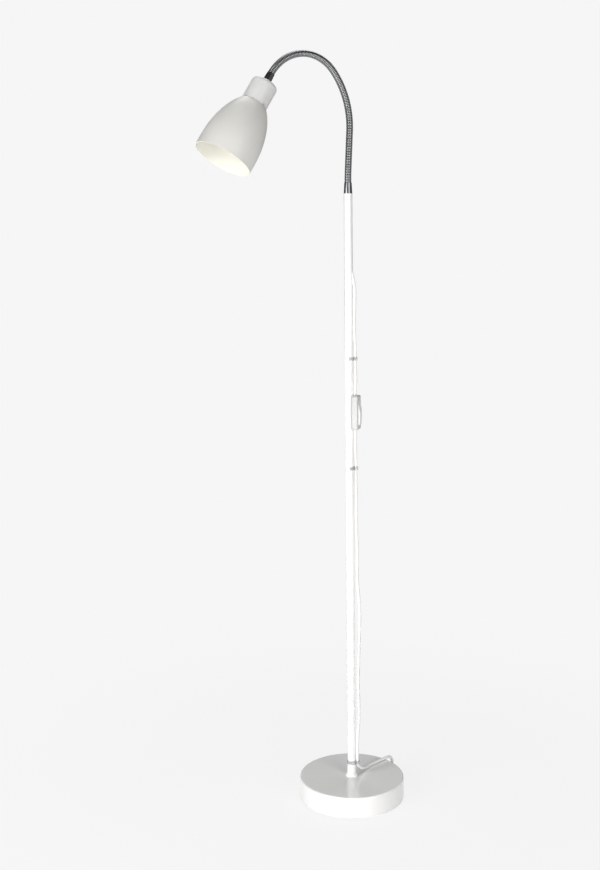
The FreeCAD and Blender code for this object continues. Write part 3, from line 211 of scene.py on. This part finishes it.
def rib_chrome():
    """Plated ribs whose grooves are painted near black as painted shade."""
    mat, tree, surface = shader("rib_chrome", (0.26, 0.265, 0.27), 0.12, 1.0)
    depth = tree.nodes.new("ShaderNodeAttribute")
    depth.attribute_name = "crest"
    # Painted shade: the grooves are near black, the crests plain chrome.
    tint(tree, surface, depth.outputs["Fac"], (0.008, 0.008, 0.009), (0.27, 0.275, 0.28), 0.15, 0.85)
    vary(tree, surface, "Roughness", noise(tree, 240), 0.07, 0.16)
    return mat


def turned_steel():
    """Plain steel with fine turning marks."""
    mat, tree, surface = shader("turned_steel", (0.56, 0.56, 0.57), 0.32, 1.0, Anisotropic=0.3)
    marks = noise(tree, 40, 4, (1, 1, 60))
    tint(tree, surface, marks, (0.46, 0.46, 0.47), (0.62, 0.62, 0.63))
    vary(tree, surface, "Roughness", marks, 0.24, 0.42)
    relief(tree, surface, marks, 0.00002, 0.5)
    return mat


def cast_cement():
    """Cast ballast with grains and pits."""
    mat, tree, surface = shader("cast_cement", (0.4, 0.39, 0.37), 0.9)
    grains = noise(tree, 260, 8)
    tint(tree, surface, grains, (0.27, 0.265, 0.25), (0.48, 0.47, 0.45))
    vary(tree, surface, "Roughness", grains, 0.82, 0.97)
    relief(tree, surface, grains, 0.0006, 0.8)
    return mat


def pressed_felt():
    """Short matted fibres."""
    mat, tree, surface = shader("pressed_felt", (0.12, 0.12, 0.12), 0.95, Sheen_Weight=0.4,
                                Sheen_Roughness=0.5)
    fibres = noise(tree, 700, 6, (1, 3, 1))
    tint(tree, surface, fibres, (0.08, 0.08, 0.085), (0.19, 0.19, 0.19))
    vary(tree, surface, "Roughness", fibres, 0.88, 1.0)
    relief(tree, surface, fibres, 0.0005, 0.9)
    return mat


def white_vinyl():
    """The soft sheath of the cord, with a faint drawing grain and handling marks."""
    mat, tree, surface = shader("white_vinyl", (0.82, 0.82, 0.81), 0.42, Subsurface_Weight=0.08,
                                Subsurface_Scale=0.002)
    surface.inputs["Subsurface Radius"].default_value = (1, 1, 0.9)
    tint(tree, surface, noise(tree, 45), (0.78, 0.78, 0.765), (0.84, 0.84, 0.835))
    vary(tree, surface, "Roughness", noise(tree, 180), 0.36, 0.5)
    relief(tree, surface, noise(tree, 1200, 2), 0.00004, 0.35)
    return mat


def clear_clip():
    """Moulded see-through plastic, a little cloudy."""
    mat, tree, surface = shader("clear_clip", (0.86, 0.87, 0.87), 0.12, Transmission_Weight=0.75,
                                IOR=1.49)
    tint(tree, surface, noise(tree, 160), (0.8, 0.81, 0.81), (0.9, 0.91, 0.91))
    vary(tree, surface, "Roughness", noise(tree, 300), 0.08, 0.2)
    return mat


def moulded(name, dark, light, rough, pits=0.00003):
    """Hard moulded plastic with a faint spark texture."""
    mat, tree, surface = shader(name, light, rough)
    tint(tree, surface, noise(tree, 40), dark, light)
    vary(tree, surface, "Roughness", noise(tree, 260), rough - 0.05, rough + 0.07)
    relief(tree, surface, noise(tree, 1500, 2), pits, 0.3)
    return mat


def opal():
    """Frosted white glass."""
    mat, tree, surface = shader("opal", (0.9, 0.9, 0.885), 0.3, Subsurface_Weight=0.3,
                                Subsurface_Scale=0.01, Coat_Weight=0.3, Coat_Roughness=0.1)
    tint(tree, surface, noise(tree, 30), (0.88, 0.88, 0.86), (0.92, 0.92, 0.905))
    vary(tree, surface, "Roughness", noise(tree, 90), 0.25, 0.38)
    return mat


def metal_skin(name, dark, light, rough):
    """Thin pressed metal with drawing marks."""
    mat, tree, surface = shader(name, light, rough, 1.0)
    marks = noise(tree, 120, 4)
    tint(tree, surface, marks, dark, light)
    vary(tree, surface, "Roughness", marks, rough - 0.06, rough + 0.1)
    relief(tree, surface, noise(tree, 900, 2), 0.00002, 0.5)
    return mat


def black_seal():
    """The fused dark insulator of the bulb cap."""
    mat, tree, surface = shader("black_seal", (0.02, 0.02, 0.022), 0.15, Coat_Weight=0.4)
    tint(tree, surface, noise(tree, 200), (0.014, 0.014, 0.016), (0.035, 0.035, 0.038))
    vary(tree, surface, "Roughness", noise(tree, 300), 0.1, 0.25)
    return mat


enamel, shade_paint_and_painted_light, chrome, steel = stove_enamel(), shade_enamel_and_painted_light(), bright_chrome(), turned_steel()
ribs = rib_chrome()
cement, felt, vinyl, clip_plastic = cast_cement(), pressed_felt(), white_vinyl(), clear_clip()
# Painted shade: the white neck cover is given a grey paint as painted shade.
shaded_neck_paint = moulded("shaded_neck_paint", (0.63, 0.63, 0.62), (0.66, 0.66, 0.65), 0.36, 0.00002)
# Painted shade: the white switch body is given a grey plastic as painted shade.
shaded_switch_plastic = moulded("shaded_switch_plastic", (0.53, 0.53, 0.525), (0.58, 0.58, 0.575), 0.3)
rocker_plastic = moulded("rocker_plastic", (0.83, 0.83, 0.825), (0.88, 0.88, 0.875), 0.18)
holder_plastic = moulded("holder_plastic", (0.72, 0.72, 0.70), (0.78, 0.78, 0.76), 0.4, 0.00006)
plug_plastic = moulded("plug_plastic", (0.79, 0.79, 0.78), (0.85, 0.85, 0.84), 0.38, 0.00006)
strap_plastic = moulded("strap_plastic", (0.76, 0.76, 0.75), (0.82, 0.82, 0.81), 0.45, 0.0001)
opal_glass, seal = opal(), black_seal()
aluminium = metal_skin("aluminium", (0.72, 0.72, 0.73), (0.84, 0.84, 0.85), 0.28)
brass = metal_skin("brass", (0.66, 0.50, 0.23), (0.80, 0.62, 0.30), 0.25)

FINISHES = {
    "base_pad": felt, "base_shell": enamel, "base_weight": cement, "base_washer": steel,
    "base_nut": steel, "base_stud": steel, "foot_collar": enamel, "lower_pole": enamel,
    "pole_foot_plug": steel, "pole_joint_socket": steel, "pole_joint_spigot": steel,
    "upper_pole": enamel, "cord_outlet": vinyl, "lower_ferrule": chrome, "upper_ferrule": chrome,
    "neck_nut": steel, "neck_cover": shaded_neck_paint, "lampholder": holder_plastic,
    "lampholder_liner": brass, "lampholder_contact": brass, "shade_ring": holder_plastic,
    "shade": shade_paint_and_painted_light, "bulb_glass": opal_glass, "bulb_cap": aluminium,
    "bulb_insulator": seal, "bulb_tip": brass, "cord_clip_upper": clip_plastic,
    "cord_clip_middle": clip_plastic, "cord_clip_lower": clip_plastic,
    "switch_back": shaded_switch_plastic, "switch_front": shaded_switch_plastic, "switch_rocker": rocker_plastic,
    "switch_screws": steel, "hank_ties": strap_plastic, "plug_relief": vinyl,
    "plug_body": plug_plastic, "plug_blades": brass,
}
for node, finish in FINISHES.items():
    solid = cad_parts[node]
    if not solid.material_slots:
        solid.data.materials.append(finish)
    for slot in solid.material_slots:
        slot.material = finish


# ---------------------------------------------------------------- cords

CORD_RADIUS = 0.0027


def beside(out, angle, up):
    """A point beside the pole: how far out, towards which side, and how high, in millimetres."""
    angle = math.radians(angle)
    return (out * math.cos(angle) / 1000, out * math.sin(angle) / 1000, up / 1000)


def at_switch(out, up):
    """A point on the side that carries the switch."""
    return beside(out, SWITCH_SIDE, up)


def behind(across, back, up):
    """A point by its distance across the view and away from it, and its height, in millimetres."""
    return ((across * math.cos(ACROSS) - back * math.sin(ACROSS)) / 1000,
            (across * math.sin(ACROSS) + back * math.cos(ACROSS)) / 1000, up / 1000)


def cord_along(name, points):
    """A round cord whose line follows the points smoothly."""
    line = bpy.data.curves.new(name, "CURVE")
    line.dimensions = "3D"
    line.bevel_depth = CORD_RADIUS
    line.bevel_resolution = 5
    line.use_fill_caps = True
    line.resolution_u = 10
    spline = line.splines.new("NURBS")
    spline.points.add(len(points) - 1)
    for knot, point in zip(spline.points, points):
        knot.co = (*point, 1)
    spline.order_u = 3
    spline.use_endpoint_u = True
    spline.use_smooth = True
    piece = bpy.data.objects.new(name, line)
    bpy.context.scene.collection.objects.link(piece)
    line.materials.append(vinyl)
    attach(piece, "stand")
    return piece


OUT_OF_SWITCH = 11.19
OUTLET_OUT, OUTLET_HEIGHT = 10.8, 988
slant, straight = math.radians(12), 9
upper_points = [at_switch(OUTLET_OUT, OUTLET_HEIGHT),
                at_switch(OUTLET_OUT + straight * math.sin(slant),
                          OUTLET_HEIGHT - straight * math.cos(slant))]
upper_points += [beside(*p) for p in (
    (11.9, -53, 955), (11.2, -57, 925), (11.1, -55, 897), (11.6, -33, 868), (11.6, -33, 826),
    (13.0, -42, 804))]
upper_points += [at_switch(OUT_OF_SWITCH, 793), at_switch(OUT_OF_SWITCH, 778)]
upper_cord = cord_along("upper_cord", upper_points)
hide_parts("cord_upper")

lower_points = [at_switch(OUT_OF_SWITCH, 713), at_switch(OUT_OF_SWITCH, 695)]
lower_points += [beside(*p) for p in (
    (11.6, -33, 658), (11.6, -33, 616), (12.2, -43, 568), (12.7, -53, 516), (14.6, -52, 470),
    (12.9, -53, 426), (18.9, -54, 368), (16.8, -53, 308), (15.2, -52, 262), (14.0, -53, 215),
    (16.2, -54, 158), (12.3, -53, 112), (11.6, -53, 86), (11.6, -53, 62))]
lower_points += [behind(*p) for p in (
    (14.2, 3, 53), (21, 13, 46), (29, 27, 41.4), (37, 40, 41.2), (47.5, 50.5, 41.2),
    (56.5, 60, 41.3), (65, 67.6, 41.3), (71.5, 75.5, 41.4), (78.5, 83, 37.5), (81.5, 88.5, 26),
    (79.5, 96, 14.5), (69.5, 102.3, 9.9), (46.8, 102.3, 9.9))]

# The put-away length: seven runs beside and on each other, folded to and fro behind the base.
HIGH, LOW, OUTER, INNER, HALF_RUN = 9.9, 3.9, 22.2, 16.2, 27.0
HANK_ACROSS, HANK_BACK = 9, 124.5
OUTER_PINCH, INNER_PINCH, PINCH_SHARE = 3, 4, 0.35
RUNS = [(-OUTER, HIGH, HIGH), (OUTER, HIGH, HIGH), (-INNER, HIGH, HIGH), (INNER, HIGH, LOW),
        (-INNER, LOW, LOW), (OUTER, LOW, LOW), (-OUTER, LOW, LOW)]
for i, (offset, first, last) in enumerate(RUNS):
    way = -1 if offset < 0 else 1
    waist = offset - math.copysign(OUTER_PINCH if abs(offset) == OUTER else INNER_PINCH, offset)
    for share, across in ((-1, offset), (-PINCH_SHARE, waist), (PINCH_SHARE, waist), (1, offset)):
        height = first + (last - first) * (1 + share) / 2
        if (i, share) not in ((0, -1), (len(RUNS) - 1, 1)):
            lower_points.append(behind(HANK_ACROSS + way * HALF_RUN * share, HANK_BACK + across,
                                       height))
    if i + 1 < len(RUNS):
        after = RUNS[i + 1][0]
        radius = abs(after - offset) / 2
        for degrees in (75, 45, 15, -15, -45, -75):
            angle = math.radians(degrees)
            reach = radius / math.cos(math.radians(15))
            lower_points.append(behind(
                HANK_ACROSS + way * (HALF_RUN + reach * math.cos(angle)),
                HANK_BACK + (offset + after) / 2 + math.copysign(reach, offset) * math.sin(angle),
                last))
PLUG_ACROSS, PLUG_BACK, PLUG_HEIGHT = -40, 101, 5.5
plug_turn = math.radians(200)
lower_points += [behind(-23.4, 102.3, LOW), behind(-29, 102.3, LOW),
                 behind(PLUG_ACROSS - 5.5 * math.cos(plug_turn),
                        PLUG_BACK - 5.5 * math.sin(plug_turn), PLUG_HEIGHT),
                 behind(PLUG_ACROSS, PLUG_BACK, PLUG_HEIGHT)]
lower_cord = cord_along("lower_cord", lower_points)
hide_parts("cord_lower", "cord_hank", "cord_tail")


# ---------------------------------------------------------------- flexible hose

HOSE_FOOT = (0, 0, 1.1785)
# Each stretch of the hose: its length, and how far it bends towards the head in degrees.
HOSE_BENDS = [(0.025, -3.1), (0.0703, 0), (0.117, 42.2), (0.0794, 56.6), (0.0782, 50.6)]
BEYOND_HOSE = (0.03, 0)
RIB_PITCH = 0.003
GROOVE_RADIUS = 0.00572
# One rib: the share of its pitch and the radius there.
RIB = [(0.17, 0.00622), (0.34, 0.00645), (0.66, 0.00645), (0.83, 0.00622), (1.0, GROOVE_RADIUS)]


def hose_line():
    """The bent line of the hose, from the lower ferrule to the upper one."""
    line = bpy.data.curves.new("hose_line", "CURVE")
    line.dimensions = "3D"
    line.resolution_u = 48
    spline = line.splines.new("BEZIER")
    spline.bezier_points.add(len(HOSE_BENDS))
    spot, heading, before = Vector(HOSE_FOOT), 0.0, 0.0
    for i, knot in enumerate(spline.bezier_points):
        way = Vector((-math.sin(heading), 0, math.cos(heading)))
        length, bend = HOSE_BENDS[i] if i < len(HOSE_BENDS) else BEYOND_HOSE
        bend = math.radians(bend)
        reach = length / 3 if not bend else 4 / 3 * math.tan(bend / 4) * length / bend
        knot.handle_left_type = knot.handle_right_type = "FREE"
        knot.co = spot
        knot.handle_left = spot - way * before
        knot.handle_right = spot + way * reach
        middle = heading + bend / 2
        chord = length if not bend else 2 * length / bend * math.sin(bend / 2)
        spot = spot + Vector((-math.sin(middle), 0, math.cos(middle))) * chord
        heading += bend
        before = reach
    piece = bpy.data.objects.new("hose_line", line)
    bpy.context.scene.collection.objects.link(piece)
    return piece


def ribbed_length(name, first, last, line):
    """Ribs from one distance to another along the hose, bent along its line. One rib is drawn out
    of a ring of its groove, copied along, and the row is bent."""
    count = round((last - first) / RIB_PITCH)
    pitch = (last - first) / count
    bpy.ops.object.select_all(action="DESELECT")
    bpy.ops.mesh.primitive_circle_add(vertices=28, radius=GROOVE_RADIUS, location=(0, 0, first))
    rib = bpy.context.active_object
    rib.name = rib.data.name = name
    bpy.ops.object.mode_set(mode="EDIT")
    bpy.ops.mesh.select_all(action="SELECT")
    was, at = GROOVE_RADIUS, first
    for share, radius in RIB:
        z = first + pitch * share
        bpy.ops.mesh.extrude_edges_move(TRANSFORM_OT_translate={"value": (0, 0, z - at)})
        bpy.ops.transform.resize(value=(radius / was, radius / was, 1), center_override=(0, 0, z))
        was, at = radius, z
    bpy.ops.object.mode_set(mode="OBJECT")
    bpy.ops.object.transform_apply(location=True, rotation=True, scale=True)
    # The crest share of each point, with which the rib chrome paints the grooves near black as
    # painted shade.
    crest = rib.data.attributes.new("crest", "FLOAT", "POINT")
    for spot, crest_share in zip(rib.data.vertices, crest.data):
        crest_share.value = min(1, max(0, (math.hypot(spot.co.x, spot.co.y) - 0.0057) / 0.0007))
    row = rib.modifiers.new("row", "ARRAY")
    row.count = count
    row.use_relative_offset = False
    row.use_constant_offset = True
    row.constant_offset_displace = (0, 0, pitch)
    row.use_merge_vertices = True
    row.merge_threshold = 0.00002
    bpy.ops.object.modifier_apply(modifier="row")
    bend = rib.modifiers.new("bend", "CURVE")
    bend.object = line
    bend.deform_axis = "POS_Z"
    bpy.ops.object.modifier_apply(modifier="bend")
    bpy.ops.object.mode_set(mode="EDIT")
    bpy.ops.mesh.select_all(action="SELECT")
    bpy.ops.mesh.normals_make_consistent(inside=False)
    bpy.ops.object.mode_set(mode="OBJECT")
    bpy.ops.object.shade_smooth()
    rib.data.materials.append(ribs)
    return rib


line = hose_line()
# Points on the hose's line, by their distance along it in millimetres.
# Each piece of hose: its two ends, the bodies that it joins, and where it has turned with the second.
HOSE_PIECES = [
    ("hose_low", 0, 54.5, "stand", "arm_1", 54.5, "gooseneck_1"),
    ("hose_middle", 54.5, 154.5, "arm_1", "arm_2", 154.5, "gooseneck_2"),
    ("hose_high", 154.5, 244.5, "arm_2", "arm_3", 244.5, "gooseneck_3"),
    ("hose_end", 244.5, 369.9, "arm_3", "head", 329.5, "gooseneck_4"),
]
for name, first, last, below, above, moved, node in HOSE_PIECES:
    hose = ribbed_length(name, first / 1000, last / 1000, line)
    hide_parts(node)
    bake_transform(hose)
bpy.data.objects.remove(line)


# ---------------------------------------------------------------- floor, world and lights

BACKGROUND = (0.92, 0.92, 0.92, 1)


def pale_floor():
    """A wide plain floor that reads as the background and keeps a soft shadow."""
    bpy.ops.object.select_all(action="DESELECT")
    bpy.ops.mesh.primitive_plane_add(size=14, location=(0, 0, 0))
    floor = bpy.context.active_object
    floor.name = "floor"
    mat = bpy.data.materials.new("pale_floor")
    mat.use_nodes = True
    tree = mat.node_tree
    surface = tree.nodes["Principled BSDF"]
    surface.inputs["Base Color"].default_value = (0.72, 0.72, 0.72, 1)
    surface.inputs["Roughness"].default_value = 0.9
    surface.inputs["Specular IOR Level"].default_value = 0.1
    glow = tree.nodes.new("ShaderNodeEmission")
    glow.inputs["Color"].default_value = BACKGROUND
    path = tree.nodes.new("ShaderNodeLightPath")
    spot = tree.nodes.new("ShaderNodeTexCoord")
    away = tree.nodes.new("ShaderNodeVectorMath")
    away.operation = "LENGTH"
    tree.links.new(spot.outputs["Object"], away.inputs[0])
    near = tree.nodes.new("ShaderNodeMapRange")
    for socket, amount in (("From Min", 0.3), ("From Max", 1.1), ("To Min", 0.8), ("To Max", 1)):
        near.inputs[socket].default_value = amount
    near.interpolation_type = "SMOOTHSTEP"
    tree.links.new(away.outputs["Value"], near.inputs["Value"])
    level = tree.nodes.new("ShaderNodeMapRange")
    for socket, amount in (("From Min", 0.8), ("From Max", 1), ("To Min", 1.085), ("To Max", 1)):
        level.inputs[socket].default_value = amount
    tree.links.new(near.outputs["Result"], level.inputs["Value"])
    tree.links.new(level.outputs["Result"], glow.inputs["Strength"])
    share = tree.nodes.new("ShaderNodeMath")
    share.operation = "MULTIPLY"
    tree.links.new(near.outputs["Result"], share.inputs[1])
    seen = tree.nodes.new("ShaderNodeMath")
    seen.operation = "MAXIMUM"
    both = tree.nodes.new("ShaderNodeMixShader")
    tree.links.new(path.outputs["Is Camera Ray"], seen.inputs[0])
    tree.links.new(path.outputs["Is Glossy Ray"], seen.inputs[1])
    tree.links.new(seen.outputs["Value"], share.inputs[0])
    tree.links.new(share.outputs["Value"], both.inputs["Fac"])
    tree.links.new(surface.outputs["BSDF"], both.inputs[1])
    tree.links.new(glow.outputs["Emission"], both.inputs[2])
    tree.links.new(both.outputs["Shader"], tree.nodes["Material Output"].inputs["Surface"])
    floor.data.materials.append(mat)


def studio_world():
    """Dim surroundings that look pale to the camera, darker above and behind the lamp."""
    world = bpy.data.worlds.new("studio_world")
    world.use_nodes = True
    bpy.context.scene.world = world
    tree = world.node_tree
    dim = tree.nodes["Background"]
    spot = tree.nodes.new("ShaderNodeTexCoord")
    split = tree.nodes.new("ShaderNodeSeparateXYZ")
    ramp = tree.nodes.new("ShaderNodeValToRGB")
    ramp.color_ramp.elements[0].position = 0.1
    ramp.color_ramp.elements[0].color = (0.75, 0.75, 0.75, 1)
    ramp.color_ramp.elements[1].position = 0.6
    ramp.color_ramp.elements[1].color = (0.22, 0.22, 0.22, 1)
    tree.links.new(spot.outputs["Generated"], split.inputs["Vector"])
    tree.links.new(split.outputs["Z"], ramp.inputs["Fac"])
    tree.links.new(ramp.outputs["Color"], dim.inputs["Color"])
    towards = tree.nodes.new("ShaderNodeVectorMath")
    towards.operation = "DOT_PRODUCT"
    towards.inputs[1].default_value = (math.sin(ACROSS), -math.cos(ACROSS), 0)
    tree.links.new(spot.outputs["Generated"], towards.inputs[0])
    strength = tree.nodes.new("ShaderNodeMapRange")
    for socket, amount in (("From Min", -1), ("From Max", 1), ("To Min", 0.16), ("To Max", 0.8)):
        strength.inputs[socket].default_value = amount
    tree.links.new(towards.outputs["Value"], strength.inputs["Value"])
    tree.links.new(strength.outputs["Result"], dim.inputs["Strength"])
    pale = tree.nodes.new("ShaderNodeBackground")
    pale.inputs["Color"].default_value = BACKGROUND
    path = tree.nodes.new("ShaderNodeLightPath")
    both = tree.nodes.new("ShaderNodeMixShader")
    tree.links.new(path.outputs["Is Camera Ray"], both.inputs["Fac"])
    tree.links.new(dim.outputs["Background"], both.inputs[1])
    tree.links.new(pale.outputs["Background"], both.inputs[2])
    tree.links.new(both.outputs["Shader"], tree.nodes["World Output"].inputs["Surface"])


def soft_light(name, place, aim, size, power, warmth=1.0):
    """A square soft light."""
    lamp = bpy.data.lights.new(name, "AREA")
    lamp.shape = "RECTANGLE"
    lamp.size, lamp.size_y = size
    lamp.energy = power
    lamp.color = (1, 0.5 + warmth / 2, warmth)
    holder = bpy.data.objects.new(name, lamp)
    holder.location = place
    holder.rotation_euler = (Vector(aim) - Vector(place)).to_track_quat("-Z", "Y").to_euler()
    bpy.context.scene.collection.objects.link(holder)


def in_view(across, back, up):
    """A point across the view, away from it and up, in metres."""
    return behind(across * 1000, back * 1000, up * 1000)


pale_floor()
studio_world()
soft_light("key", in_view(-1.9, -1.7, 1.2), (0, 0, 0.75), (1.4, 2.0), 47)
soft_light("fill", in_view(1.5, -2.3, 1.0), (0, 0, 0.7), (1.2, 2.0), 29)
soft_light("top", in_view(0.2, 0.8, 2.6), (0, 0, 0.6), (1.6, 1.2), 22)
soft_light("low", in_view(-0.35, -1.5, 0.25), (-0.27, 0, 1.22), (0.8, 0.5), 9, 0.95)

bpy.context.scene.view_settings.view_transform = "Standard"
